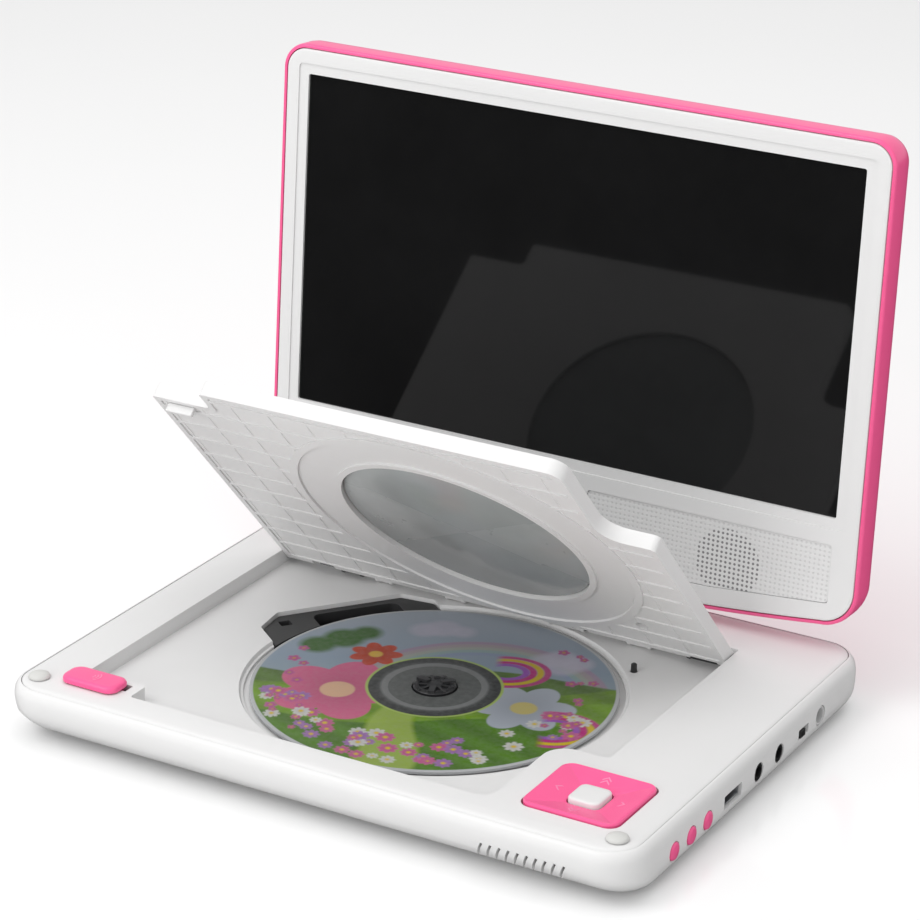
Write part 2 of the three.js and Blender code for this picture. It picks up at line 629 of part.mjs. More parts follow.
function screenBack() {
  const rings = [
    screenRing(7, REAR),
    screenRing(3, REAR + 0.9),
    screenRing(1, REAR + 2.8),
    screenRing(0.1, REAR + 6),
    screenRing(0, FRONT - 1),
    screenRing(0.6, FRONT - 0.2),
    screenRing(1.3, FRONT - 0.2),
    screenRing(1.3, FRONT - 3),
    screenRing(2.6, FRONT - 3),
    screenRing(2.9, REAR + 4.4),
    screenRing(5.6, REAR + 2),
  ];
  return stand(cut(loft(rings), notch()));
}

function grilleShape(side, inset) {
  const corners = [
    [13 + inset, 11 + inset],
    [27 + inset, 11 + inset],
    [27 + inset, 1.6 + inset],
    [60 + inset, 2.6 + inset],
    [103 - inset, 6.5 + inset],
    [103 - inset, 26.8 - inset],
    [13 + inset, 26.8 - inset],
  ];
  return new THREE.Shape(corners.map(([x, y]) => new THREE.Vector2(side * x, y)));
}

function screenBezel() {
  const rings = [screenRing(1.6, FRONT - BEZEL_T), screenRing(1.6, FRONT - 0.4), screenRing(2.2, FRONT)];
  const window = block(-LCD_W / 2, LCD_W / 2, LCD_BOTTOM, LCD_BOTTOM + LCD_H, -30, 30);
  const slit = block(-3.8, 3.8, 29.6, 31.6, -30, 30);
  const grilles = [-1, 1].map((side) => plate(grilleShape(side, 0), -30, 30));
  return stand(cut(loft(rings), window, slit, notch(), ...grilles));
}

function speakerGrille(side) {
  const body = plate(grilleShape(side, GAP), FRONT - 2.2, FRONT - 0.5);
  const holes = [drum(0.8, -30, 30, 8, side * 66.3, 12.5)];
  for (const [count, r] of [[6, 3.4], [12, 6.8]]) {
    for (let i = 0; i < count; i += 1) {
      const a = (2 * Math.PI * i) / count;
      holes.push(drum(0.8, -30, 30, 8, side * 66.3 + r * Math.cos(a), 12.5 + r * Math.sin(a)));
    }
  }
  return stand(cut(body, ...holes));
}

function slabAt(x0, x1, y0, y1, z0, z1) {
  return stand(block(x0, x1, y0, y1, z0, z1));
}

const LCD_TOP = LCD_BOTTOM + LCD_H;
add('screen_back', screenBack(), PINK, screenGroup);
add('screen_bezel', screenBezel(), WHITE, screenGroup);
add('lcd_panel', slabAt(-105.5, 105.5, LCD_BOTTOM - 2.3, LCD_TOP + 2.3, 2.9, 5.2), LCD_BLACK, screenGroup);
const backlight = slabAt(-106.5, 106.5, LCD_BOTTOM - 3.3, LCD_TOP + 3.3, -0.2, 2.5);
add('backlight_unit', backlight, STEEL, screenGroup);
add('screen_board', slabAt(-50, 50, 12.4, 31, -3.6, -2.2), BOARD, screenGroup);
add('sensor_window', slabAt(-3.4, 3.4, 29.9, 31.3, FRONT - 2, FRONT - 0.6), BLACK, screenGroup);
for (const [side, label] of [[-1, 'left'], [1, 'right']]) {
  add(`speaker_${label}`, stand(drum(9.5, -1.4, 5.6, 24, side * 66.3, 12.5)), BLACK, screenGroup);
  add(`speaker_grille_${label}`, speakerGrille(side), WHITE, screenGroup);
}
const bracket = (x0, x1) => block(x0, x1, -2.4, 11.6, -1.9, 3.6);
const shaft = join(drumX(SHAFT_R, -33, 33, 0, 0, 16), bracket(-33, -25.4), bracket(25.4, 33));
add('tilt_shaft', stand(shaft), STEEL, screenGroup);

// ---- origin at the bottom centre of the whole object ----
player.updateMatrixWorld(true);
const box = new THREE.Box3().setFromObject(player, true);
const centre = box.getCenter(new THREE.Vector3());
player.position.set(-centre.x, -centre.y, -box.min.z);
player.updateMatrixWorld(true);

export default player;
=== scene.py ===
import json
import math

import bmesh
import bpy
import numpy as np
from mathutils import Matrix, Vector


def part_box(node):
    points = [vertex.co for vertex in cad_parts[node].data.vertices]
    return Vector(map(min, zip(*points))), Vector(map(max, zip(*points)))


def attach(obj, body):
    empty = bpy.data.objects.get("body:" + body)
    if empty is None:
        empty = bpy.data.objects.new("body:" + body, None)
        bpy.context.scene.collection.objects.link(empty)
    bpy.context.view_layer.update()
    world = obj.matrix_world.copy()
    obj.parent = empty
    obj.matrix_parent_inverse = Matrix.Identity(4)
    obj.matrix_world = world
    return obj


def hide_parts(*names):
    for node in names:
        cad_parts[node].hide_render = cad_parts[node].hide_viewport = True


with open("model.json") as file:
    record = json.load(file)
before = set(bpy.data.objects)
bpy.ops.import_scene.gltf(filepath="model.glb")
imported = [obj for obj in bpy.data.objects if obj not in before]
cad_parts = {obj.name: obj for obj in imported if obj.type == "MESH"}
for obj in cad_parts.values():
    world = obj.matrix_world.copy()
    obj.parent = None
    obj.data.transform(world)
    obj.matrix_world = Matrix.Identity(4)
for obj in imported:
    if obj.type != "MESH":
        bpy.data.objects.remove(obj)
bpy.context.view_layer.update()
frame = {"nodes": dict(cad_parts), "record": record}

# ---- sizes in millimetres, in the base's own frame: x and y from its middle, z from the table ----
MM = 0.001
LO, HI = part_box("bottom_case")
MIDDLE = Vector(((LO.x + HI.x) / 2, (LO.y + HI.y) / 2, 0))
BASE = Matrix.Translation(MIDDLE) @ Matrix.Scale(MM, 4)
HALF_W, HALF_D = 113.5, 86.5
DECK_Z = 19.7
LID_HINGE = Vector((0, 56, 16.7))
LID_OPEN = 47.2
PIVOT = Vector((0, 81.3, 30))
TILT = 4
DISC_X, DISC_Y, DISC_TOP = 1.1, -5.6, 13.9
SLED_ANGLE = 142
RECESS_FLOOR = 14.2
WELL_R = 62
CASE_CORNER = 13
PORT_Z = 9.7
SIDE_KEY_Z = 9.2
TURRET_Y = 72.4
BUMPER_X, BUMPER_Y = 104.4, -76.4
PIN_X, PIN_Y = 51.2, 38
SIDE_KEYS = (-56.5, -45, -33.8)
NAV = (84.7, -56.3, 32.4, 30.8, 4.2)
PAD_TOP, PAD_FLOOR, PAD_FLOOR_W = 20.8, 18.8, 12
PICTURE_TURN = 24


def turn(degrees, axis):
    return Matrix.Rotation(math.radians(degrees), 4, axis)


LID = BASE @ Matrix.Translation(LID_HINGE) @ turn(-LID_OPEN, "X")
SCREEN = BASE @ Matrix.Translation(PIVOT) @ turn(-TILT, "X") @ turn(90, "X")
DISC = BASE @ Matrix.Translation((DISC_X, DISC_Y, 0))
SLED = DISC @ turn(SLED_ANGLE, "Z")
BODY_OF = {node: body for body, nodes in frame["record"]["behaviour"]["bodies"].items() for node in nodes}
SLOT_OF = {row["node"]: row["material_slot"] for row in frame["record"]["subparts"]}


# ---- materials ----
class Nodes:
    """A material's node tree, with short ways to add and join its nodes."""

    def __init__(self, name):
        self.material = bpy.data.materials.new(name)
        self.material.use_nodes = True
        self.tree = self.material.node_tree
        self.surface = self.tree.nodes["Principled BSDF"]
        self.coordinates = self.add("ShaderNodeTexCoord")

    def add(self, kind, **settings):
        node = self.tree.nodes.new(kind)
        for key, value in settings.items():
            setattr(node, key, value)
        return node

    def put(self, socket, value):
        if isinstance(value, bpy.types.NodeSocket):
            self.tree.links.new(value, socket)
        elif socket.type == "RGBA" and len(value) == 3:
            socket.default_value = (*value, 1)
        else:
            socket.default_value = value

    def noise(self, scale, detail=3, where="Object"):
        node = self.add("ShaderNodeTexNoise")
        self.put(node.inputs["Vector"], self.coordinates.outputs[where])
        node.inputs["Scale"].default_value = scale
        node.inputs["Detail"].default_value = detail
        return node.outputs["Fac"]

    def spread(self, value, low, high, from_low=0.3, from_high=0.7):
        node = self.add("ShaderNodeMapRange")
        self.put(node.inputs["Value"], value)
        keys = ("From Min", "From Max", "To Min", "To Max")
        for key, number in zip(keys, (from_low, from_high, low, high)):
            node.inputs[key].default_value = number
        return node.outputs["Result"]

    def mix(self, factor, a, b):
        node = self.add("ShaderNodeMix", data_type="RGBA")
        self.put(node.inputs["Factor"], factor)
        self.put(node.inputs[6], a)
        self.put(node.inputs[7], b)
        return node.outputs[2]

    def math(self, operation, a, b=0.0):
        node = self.add("ShaderNodeMath", operation=operation)
        self.put(node.inputs[0], a)
        self.put(node.inputs[1], b)
        return node.outputs[0]

    def bump(self, height, strength, distance):
        node = self.add("ShaderNodeBump")
        node.inputs["Strength"].default_value = strength
        node.inputs["Distance"].default_value = distance
        self.put(node.inputs["Height"], height)
        return node.outputs["Normal"]


def finish_of(name, color, rough, metal=0.0, grain=900, relief=0.00004, wear=0.05, coat=0.0):
    """A moulded or metal finish: tint drift, rubbed edges, handling marks in the gloss, a fine grain."""
    n = Nodes(name)
    worn = tuple(c * (1 - wear) for c in color)
    rubbed = tuple(c * 0.94 + 0.035 for c in color)
    tinted = n.mix(n.spread(n.noise(28), 0, 1), color, worn)
    edge = n.spread(n.add("ShaderNodeNewGeometry").outputs["Pointiness"], 0, 1, 0.53, 0.62)
    edge = n.math("MULTIPLY", edge, n.spread(n.noise(140, 4), 0.2, 1))
    n.put(n.surface.inputs["Base Color"], n.mix(edge, tinted, rubbed))
    marks = n.math("ADD", n.noise(60, 6), n.noise(9, 2))
    gloss = n.spread(marks, rough * 0.92, rough * 1.12, 0.6, 1.4)
    n.put(n.surface.inputs["Roughness"], n.math("ADD", gloss, n.math("MULTIPLY", edge, 0.12)))
    n.put(n.surface.inputs["Normal"], n.bump(n.noise(grain, 2), 0.35, relief))
    n.surface.inputs["Metallic"].default_value = metal
    n.surface.inputs["Coat Weight"].default_value = coat
    n.surface.inputs["Coat Roughness"].default_value = 0.12
    return n


WHITE_COLOR = (0.74, 0.737, 0.735)
PINK_COLOR = (0.93, 0.105, 0.30)
MATERIALS = {
    "white_shell": finish_of("white_shell", WHITE_COLOR, 0.36, wear=0.02),
    "pink_shell": finish_of("pink_shell", PINK_COLOR, 0.32, wear=0.025, coat=0.15),
    "dark_chassis": finish_of("dark_chassis", (0.042, 0.042, 0.043), 0.5, grain=1500, wear=0.3),
    "black_plastic": finish_of("black_plastic", (0.012, 0.012, 0.013), 0.42, wear=0.3),
    "lcd": finish_of("lcd", (0.008, 0.008, 0.0082), 0.05, relief=0.0, wear=0.2),
    "smoked_window": finish_of("smoked_window", (0.42, 0.445, 0.445), 0.24, wear=0.2, coat=0.3),
    "steel": finish_of("steel", (0.55, 0.56, 0.58), 0.28, metal=1.0, wear=0.15),
    "brass": finish_of("brass", (0.6, 0.37, 0.11), 0.3, metal=1.0, wear=0.15),
    "rubber": finish_of("rubber", (0.62, 0.62, 0.6), 0.6, wear=0.1),
    "grey_plastic": finish_of("grey_plastic", (0.62, 0.62, 0.62), 0.45, wear=0.1),
    "circuit_board": finish_of("circuit_board", (0.012, 0.14, 0.04), 0.45, wear=0.3),
    "battery_wrap": finish_of("battery_wrap", (0.03, 0.11, 0.4), 0.35, wear=0.2),
    "lens": finish_of("lens", (0.4, 0.55, 0.75), 0.05, wear=0.1),
}
MATERIALS["lcd"].surface.inputs["IOR"].default_value = 1.38
MARK = finish_of("key_mark", (0.9, 0.25, 0.45), 0.4, wear=0.1)
HUB = finish_of("hub_black", (0.018, 0.018, 0.02), 0.34, wear=0.3)


def window_finish():
    """Smoked acrylic: mostly a grey gloss, a little of what lies behind shows through."""
    n = MATERIALS["smoked_window"]
    clear = n.add("ShaderNodeBsdfTransparent")
    n.put(clear.inputs["Color"], n.mix(n.noise(20), (0.7, 0.74, 0.74), (0.6, 0.64, 0.64)))
    blend = n.add("ShaderNodeMixShader")
    blend.inputs["Fac"].default_value = 0.1
    output = n.tree.nodes["Material Output"]
    n.tree.links.new(n.surface.outputs["BSDF"], blend.inputs[1])
    n.tree.links.new(clear.outputs["BSDF"], blend.inputs[2])
    n.tree.links.new(blend.outputs["Shader"], output.inputs["Surface"])


window_finish()


# ---- mesh building ----
def rounded(corners, steps=8):
    """Outline through (x, y, radius) corners, each one filleted."""
    points = []
    for i, (x, y, r) in enumerate(corners):
        corner = Vector((x, y))
        back = (Vector(corners[i - 1][:2]) - corner).normalized()
        ahead = (Vector(corners[(i + 1) % len(corners)][:2]) - corner).normalized()
        if r <= 0:
            points.append((x, y))
            continue
        half = back.angle(ahead) / 2
        centre = corner + (back + ahead).normalized() * (r / math.sin(half))
        reach = r / math.tan(half)
        first = corner + back * reach - centre
        last = corner + ahead * reach - centre
        a = math.atan2(first.y, first.x)
        sweep = (math.atan2(last.y, last.x) - a + math.pi) % (2 * math.pi) - math.pi
        for k in range(steps + 1):
            angle = a + sweep * k / steps
            points.append((centre.x + r * math.cos(angle), centre.y + r * math.sin(angle)))
    return points


def box_outline(x0, x1, y0, y1, r=0.0, steps=8):
    return rounded([(x0, y0, r), (x1, y0, r), (x1, y1, r), (x0, y1, r)], steps)


def circle(r, steps=64, x=0.0, y=0.0):
    angles = [2 * math.pi * k / steps for k in range(steps)]
    return [(x + r * math.cos(a), y + r * math.sin(a)) for a in angles]


def mesh_from(bm, name="shape"):
    bmesh.ops.recalc_face_normals(bm, faces=bm.faces)
    mesh = bpy.data.meshes.new(name)
    bm.to_mesh(mesh)
    bm.free()
    return mesh


def loft(rings, closed=False):
    """Skin through rings of (x, y, z) points; capped at both ends unless it closes on itself."""
    bm = bmesh.new()
    rows = [[bm.verts.new(p) for p in ring] for ring in rings]
    pairs = list(zip(rows, rows[1:]))
    if closed:
        pairs.append((rows[-1], rows[0]))
    else:
        bm.faces.new(rows[0])
        bm.faces.new(rows[-1])
    for low, high in pairs:
        for i in range(len(low)):
            j = (i + 1) % len(low)
            bm.faces.new((low[i], low[j], high[j], high[i]))
    return mesh_from(bm)


def prism(outline, z0, z1):
    return loft([[(x, y, z) for x, y in outline] for z in (z0, z1)])


def block(x0, x1, y0, y1, z0, z1):
    return prism(box_outline(x0, x1, y0, y1), z0, z1)


def turned(profile, steps=64, closed=False):
    """Solid of revolution about Z through (radius, z) points."""
    rings = [[(x, y, z) for x, y in circle(max(r, 0.01), steps)] for r, z in profile]
    return loft(rings, closed)


def together(meshes):
    """Several separate solids as one mesh."""
    bm = bmesh.new()
    for mesh in meshes:
        bm.from_mesh(mesh)
    return mesh_from(bm)


def moved(mesh, matrix):
    mesh.transform(matrix)
    return mesh


def at(x, y, z):
    return Matrix.Translation((x, y, z))


def along_x(r, x0, x1, y, z, steps=32):
    return moved(turned([(r, x0), (r, x1)], steps), at(0, y, z) @ turn(90, "Y"))


def carve(mesh, tools=(), extra=()):
    """Adds the extra meshes to mesh and takes the tools away from it."""
    solid = bpy.data.objects.new("solid", mesh)
    bpy.context.scene.collection.objects.link(solid)
    helpers = []
    for operation, group in (("UNION", extra), ("DIFFERENCE", tools)):
        for part in group:
            helper = bpy.data.objects.new("helper", part)
            bpy.context.scene.collection.objects.link(helper)
            step = solid.modifiers.new("step", "BOOLEAN")
            step.operation = operation
            step.object = helper
            step.solver = "EXACT"
            helpers.append(helper)
    view = bpy.context.evaluated_depsgraph_get()
    made = bpy.data.meshes.new_from_object(solid.evaluated_get(view))
    for each in [solid, *helpers]:
        bpy.data.objects.remove(each)
    return made


def add_map(mesh):
    """Stores each point's own x and y, before the mesh is put in place, as the surface map."""
    layer = mesh.uv_layers.new(name="flat")
    for loop in mesh.loops:
        layer.data[loop.index].uv = mesh.vertices[loop.vertex_index].co.xy


def show(name, mesh, place, body, slot, bevel=0.3, material=None, replaces=(), segments=3, sharp=35):
    """Puts a finished mesh in the scene, riding its body."""
    add_map(mesh)
    mesh.transform(place)
    mesh.polygons.foreach_set("use_smooth", [True] * len(mesh.polygons))
    mesh.set_sharp_from_angle(angle=math.radians(sharp))
    obj = bpy.data.objects.new(name, mesh)
    bpy.context.scene.collection.objects.link(obj)
    mesh.materials.clear()
    mesh.materials.append((material or MATERIALS[slot]).material)
    if bevel:
        edge = obj.modifiers.new("edge", "BEVEL")
        edge.width = bevel * MM
        edge.segments = segments
        edge.limit_method = "ANGLE"
        edge.angle_limit = math.radians(sharp)
        edge.harden_normals = True
    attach(obj, body)
    if replaces:
        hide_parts(*replaces)
    return obj


def dress(node, bevel=0.15, material=None, segments=2):
    """A finished copy of a CAD node: edges softened, its own finish."""
    mesh = frame["nodes"][node].data.copy()
    bm = bmesh.new()
    bm.from_mesh(mesh)
    bmesh.ops.remove_doubles(bm, verts=bm.verts, dist=2e-6)
    bmesh.ops.dissolve_limit(bm, angle_limit=math.radians(1), verts=bm.verts, edges=bm.edges)
    bm.to_mesh(mesh)
    bm.free()
    for layer in list(mesh.uv_layers):
        mesh.uv_layers.remove(layer)
    return show(
        f"{node}_look", mesh, Matrix.Identity(4), BODY_OF[node], SLOT_OF[node],
        bevel, material, [node], segments,
    )


# ---- base ----
CASE_OUTSIDE = [
    (1.2, 5, 10, 7), (2.2, 3.1, 7.8, 4.4), (3.6, 1.6, 5.8, 2.6), (5.5, 0.6, 4, 1.1), (7.4, 0.15, 2.6, 0.4),
    (9.6, 0, 1.2, 0.1), (12, 0, 0.4, 0), (14, 0, 0.05, 0), (15.6, 0.05, 0.05, 0.5), (17, 0.3, 0.3, 1.2),
    (18.1, 0.9, 0.9, 2.1), (18.8, 1.5, 1.5, 2.7), (19.1, 2.15, 2.15, 3),
]
CASE_INSIDE = [(19.1, 2.25, 2.25, 3.1), (11, 2.3, 2.7, 3.5), (6.4, 3, 5.8, 4), (3.2, 5.8, 10.4, 7.2)]


def case_ring(z, side, front, rear, bow=3.2):
    """Outline of the case at one height; low down, the front pulls in towards its corners."""
    x = HALF_W - side
    r = max(CASE_CORNER - min(side, front, rear), 3)
    outline = box_outline(-x, x, front - HALF_D, HALF_D - rear, r, 12)
    pull = bow * max(0.0, 1 - z / 9)
    ring = []
    for px, py in outline:
        inward = pull * (px / HALF_W) ** 2 if py < 0 else 0
        ring.append((px, py + inward, z))
    return ring


def case_mesh():
    rings = [case_ring(*row) for row in CASE_OUTSIDE + CASE_INSIDE]
    tools = []
    for i in range(10):
        vent = block(-0.4, 0.4, -5, 5, -4.6, 4.6)
        tools.append(moved(vent, at(62 + i * 3.1, 2.5 - HALF_D, 7.6) @ turn(28, "Y")))
    for y in SIDE_KEYS:
        tools.append(along_x(3.2, HALF_W - 5, HALF_W + 3, y, SIDE_KEY_Z))
    for y, w, h in ((-16.4, 12.2, 4.6), (35.5, 7.4, 3.2)):
        port = prism(box_outline(-h / 2, h / 2, -w / 2, w / 2, 0.5), HALF_W - 6, HALF_W + 3)
        tools.append(moved(port, at(0, y, PORT_Z) @ turn(90, "Y")))
    for y, r in ((2.2, 3.2), (17.3, 3.2), (48.6, 3.5)):
        tools.append(along_x(r, HALF_W - 6, HALF_W + 3, y, PORT_Z))
    for x in (-88, 88):
        for y in (-60, 66):
            tools.append(moved(turned([(5.3, 0), (5.3, 2)], 40), at(x, y, 0)))
    return carve(loft(rings), tools)


def bay_outline(inset, rear):
    """The lid bay seen from above; the lid uses it too, set in all round."""
    x0, x1, y0 = -93.8 + inset, 78.3 - inset, -73 + inset
    lx, ly = -71.5 + inset, -63.4 + inset
    sx, sy = 59.5 - inset, -31.5 + inset
    return rounded([
        (x0, ly, 1), (lx, ly, 2), (lx, y0, 1.2), (sx, y0, 5), (sx, sy, 8), (x1, sy, 2),
        (x1, rear, 0.6), (x0, rear, 0.6),
    ])


def traverse_outline(inset):
    """The opening beside the disc, in sled axes; the dark plate uses it too, set in all round."""
    back, reach, low, high = -27 + inset, 71.7 - inset, -25 + inset, 38 - inset
    cut = 9 - inset / 2
    return rounded([
        (back, low, 0), (reach - cut, low, 2), (reach, low + cut, 2), (reach, high - cut, 2),
        (reach - cut, high, 2), (back, high, 0),
    ])


def deck_mesh():
    hx, hy = HALF_W - 2.5, HALF_D - 2.5
    heights = [(17.6, 0, 0), (18.95, 0, 0), (19.25, 0.35, 1), (19.5, 0.9, 2.6), (DECK_Z, 1.9, 5.4)]
    rings = []
    for z, side, back in heights:
        outline = box_outline(side - hx, hx - side, side - hy, hy - 1 - back, 10.5 - side, 12)
        rings.append([(x, y, z) for x, y in outline])
    tray = prism(bay_outline(-1.6, 62), 10.6, 18)
    boss = moved(turned([(10.3, 12), (10.3, 19.9), (10, 20.2)]), at(0, TURRET_Y, 0))
    lip, mouth = WELL_R + 0.8, WELL_R + 1.5
    well = turned([(WELL_R, 11.9), (WELL_R, 12.9), (lip, 13.1), (mouth, 14.4), (mouth, 24)], 128)
    opening = moved(prism(traverse_outline(0), 5, 18), at(DISC_X, DISC_Y, 0) @ turn(SLED_ANGLE, "Z"))
    x, y, w, d, r = NAV
    nav = prism(box_outline(x - w / 2 - 0.5, x + w / 2 + 0.5, y - d / 2 - 0.5, y + d / 2 + 0.5, r), 5, 25)
    tools = [
        prism(bay_outline(0, 60.4), RECESS_FLOOR, 26),
        moved(well, at(DISC_X, DISC_Y, 0)),
        opening,
        nav,
        block(-89, -75, -70.6, -66.2, 10, 25),
        moved(turned([(7.3, 5), (7.3, 25)], 40), at(0, TURRET_Y, 0)),
        moved(turned([(1.3, 5), (1.3, 25)], 24), at(PIN_X, PIN_Y, 0)),
        block(-89, -77, -61.6, -57.6, 5, 18),
        along_x(1.3, -98, -92.8, LID_HINGE.y, LID_HINGE.z),
        along_x(1.3, 77.3, 82.3, LID_HINGE.y, LID_HINGE.z),
    ]
    for side in (-1, 1):
        tools.append(moved(turned([(1.2, 15), (1.2, 25)], 24), at(side * BUMPER_X, BUMPER_Y, 0)))
    return carve(loft(rings), tools, [tray, boss])


show("case", case_mesh(), BASE, "base", "white_shell", 0.15, replaces=["bottom_case"])
show("deck", deck_mesh(), BASE, "base", "white_shell", 0.35, replaces=["top_deck"])


def bumper(side):
    profile = [(0.9, 18), (0.9, 20), (3.5, 20), (3.55, 20.3), (3.3, 20.8), (2.6, 21.2)]
    profile += [(1.5, 21.5), (0.02, 21.6)]
    label = "left" if side < 0 else "right"
    mesh = moved(turned(profile, 40), at(side * BUMPER_X, BUMPER_Y, 0))
    show(f"bumper_{label}_look", mesh, BASE, "base", "rubber", 0, replaces=[f"bumper_{label}"], sharp=60)


bumper(-1)
bumper(1)


# ---- keys ----
def key_outline(w, d, r):
    return box_outline(NAV[0] - w / 2, NAV[0] + w / 2, NAV[1] - d / 2, NAV[1] + d / 2, r, 6)


def key_rings(rows):
    return [[(x, y, z) for x, y in key_outline(w, d, r)] for w, d, r, z in rows]


def nav_mesh():
    """The pad: four flat facets slope down to the centre key, with a crease between each two."""
    w, d, r = NAV[2:]
    rows = [(w + 2, d + 2, r + 1, 14.8), (w + 2, d + 2, r + 1, 16.3), (w, d, r, 16.31), (w, d, r, 20.1)]
    rows += [(w - 0.5, d - 0.5, r - 0.2, 20.6), (w - 1.4, d - 1.4, r - 0.6, PAD_TOP)]
    facets = [(PAD_FLOOR_W, PAD_FLOOR_W, 0, PAD_FLOOR), (w - 1, d - 1, 0, PAD_TOP + 0.05)]
    dish = loft(key_rings([*facets, (w - 1, d - 1, 0, 24)]))
    hole = loft(key_rings([(11.8, 12.4, 2.6, 12), (11.8, 12.4, 2.6, 24)]))
    return carve(loft(key_rings(rows)), [dish, hole])


def enter_key_mesh():
    rows = [(10.8, 11.4, 2.4, 15.4), (10.8, 11.4, 2.4, 19.9), (10.4, 11, 2.2, 20.25)]
    rows += [(9.4, 10, 1.8, 20.45), (8, 8.6, 1.4, 20.5)]
    return loft(key_rings(rows))


show("nav_pad_look", nav_mesh(), BASE, "nav_pad", "pink_shell", 0.1, replaces=["nav_pad"], sharp=7)
show(
    "enter_key_look", enter_key_mesh(), BASE, "enter_key", "white_shell", 0,
    replaces=["enter_key"], sharp=50,
)


def chevron(size, thick):
    rise = thick * 1.4
    return [(-size, -size), (0, 0), (size, -size), (size, rise - size), (0, rise), (-size, rise - size)]


def arrow(name, angle, reach, doubled):
    """A generic arrow mark, laid on one facet of the pad."""
    run = ((NAV[3] if doubled else NAV[2]) - 1 - PAD_FLOOR_W) / 2
    rise = (PAD_TOP + 0.05 - PAD_FLOOR) / run
    marks = prism(chevron(1.5, 0.45), -0.1, 0.08)
    if doubled:
        marks = together([marks, moved(prism(chevron(1.5, 0.45), -0.1, 0.08), at(0, 1.5, 0))])
    height = PAD_FLOOR + (reach - PAD_FLOOR_W / 2) * rise
    slope = turn(math.degrees(math.atan(rise)), "X")
    seat = at(NAV[0], NAV[1], height) @ turn(angle, "Z") @ at(0, reach, 0) @ slope
    show(name, moved(marks, seat), BASE, "nav_pad", "pink_shell", 0, MARK)


for number, (angle, reach) in enumerate(((0, 10.6), (90, 11.2), (180, 10.6), (270, 11.2))):
    arrow(f"nav_mark_{number + 1}", angle, reach, angle in (0, 180))


def slider_mesh():
    rings = []
    for inset, z in ((0.4, 20), (0, 20.3), (0, 21.2), (0.3, 21.8), (0.9, 22.12), (1.8, 22.2)):
        outline = box_outline(-97 + inset, -76 - inset, -76.3 + inset, -65.7 - inset, 3.6 - inset * 0.6)
        rings.append([(x, y, z) for x, y in outline])
    stem = block(-88, -78.4, -70.2, -66.6, 15, 20.6)
    catch = block(-92, -79, -74, -66.4, 14.2, 16.6)
    return carve(loft(rings), (), [stem, catch])


show("open_slider_look", slider_mesh(), BASE, "slider", "pink_shell", 0.1, replaces=["open_slider"], sharp=50)
for number, radius in enumerate((1.2, 2.2, 3.2)):
    arc = [(radius * math.cos(a), radius * math.sin(a)) for a in np.linspace(-0.9, 0.9, 12)]
    back = [((radius - 0.4) * math.cos(a), (radius - 0.4) * math.sin(a)) for a in np.linspace(0.9, -0.9, 12)]
    mesh = moved(prism(arc + back, 22.15, 22.32), at(-87.5, -71, 0))
    show(f"slider_mark_{number + 1}", mesh, BASE, "slider", "pink_shell", 0, MARK)


def side_key_mesh(y):
    x = HALF_W
    profile = [(3.8, 106), (3.8, 107.4), (2.9, 107.41), (2.9, x)]
    profile += [(2.65, x + 0.35), (1.9, x + 0.58), (0.02, x + 0.65)]
    return moved(turned(profile, 40), at(0, y, SIDE_KEY_Z) @ turn(90, "Y"))


for number, y in enumerate(SIDE_KEYS):
    node = f"side_key_{number + 1}"
    show(f"{node}_look", side_key_mesh(y), BASE, node, "pink_shell", 0, replaces=[node], sharp=50)


# ---- drive and disc ----
def traverse_mesh():
    """The dark plate beside the disc: its part outside the disc stands higher, round a deep sled slot."""
    outline = traverse_outline(0.6)
    raised = carve(prism(outline, 9.5, 12.9), [turned([(61.8, 3), (61.8, 20)], 96)])
    wall = block(69.2, 70.9, -14, 26, 3.5, 10)
    floor_pan = block(10, 69.4, -14, 26, 3.4, 4)
    tools = [
        prism(box_outline(16, 66, -12.5, 12.5, 3), 4.2, 14),
        prism(box_outline(50, 68.2, -12.8, 18, 3), 4.2, 14),
        turned([(8, 3), (8, 14)], 40),
        prism(box_outline(63.4, 67, 26.4, 30.4, 0.5), 9.9, 14),
    ]
    return carve(carve(prism(outline, 9.4, 10.6), (), [raised]), tools, [wall, floor_pan])


show("traverse_look", traverse_mesh(), SLED, "base", "dark_chassis", 0.2, replaces=["traverse_plate"])


def turntable_mesh():
    profile = [
        (1.2, 12.3), (1.2, 11.1), (12.4, 11.1), (12.4, 12.4), (7.1, 12.4), (7.1, 14.4), (6.7, 14.8),
        (5.6, 15), (5.2, 14.9), (5, 14.3), (2.6, 14.3), (2.5, 14.9), (0.02, 15),
    ]
    fins = []
    for k in range(9):
        wide = 2 if k % 3 == 0 else 0.9
        top = 15.6 if k % 3 == 0 else 15
        fins.append(moved(block(2.4, 6.9, -wide / 2, wide / 2, 13.8, top), turn(40 * k + 50, "Z")))
    return carve(turned(profile, 48), (), fins)


show("turntable_look", turntable_mesh(), DISC, "traverse_turntable", "dark_chassis", 0.12, HUB, ["turntable"])


def over(base, color, mask):
    """Lays a colour over the picture where mask is 1."""
    return base * (1 - mask[:, None]) + np.array(color)[None, :] * mask[:, None]


def soft(value, edge=0.5):
    return np.clip(0.5 + value / edge, 0, 1)


def blob(x, y, cx, cy, r, edge=0.7):
    return soft(r - np.hypot(x - cx, y - cy), edge)


def blossom(picture, x, y, cx, cy, size, petal, heart, petals=6):
    angle = np.arctan2(y - cy, x - cx)
    reach = np.hypot(x - cx, y - cy)
    outline = size * (0.68 + 0.32 * np.abs(np.cos(angle * petals / 2)))
    shade = 0.72 + 0.28 * np.clip(reach / size, 0, 1)
    tinted = np.array(petal)[None, :] * shade[:, None]
    mask = soft(outline - reach, 0.6)
    picture = picture * (1 - mask[:, None]) + tinted * mask[:, None]
    return over(picture, heart, blob(x, y, cx, cy, size * 0.26))


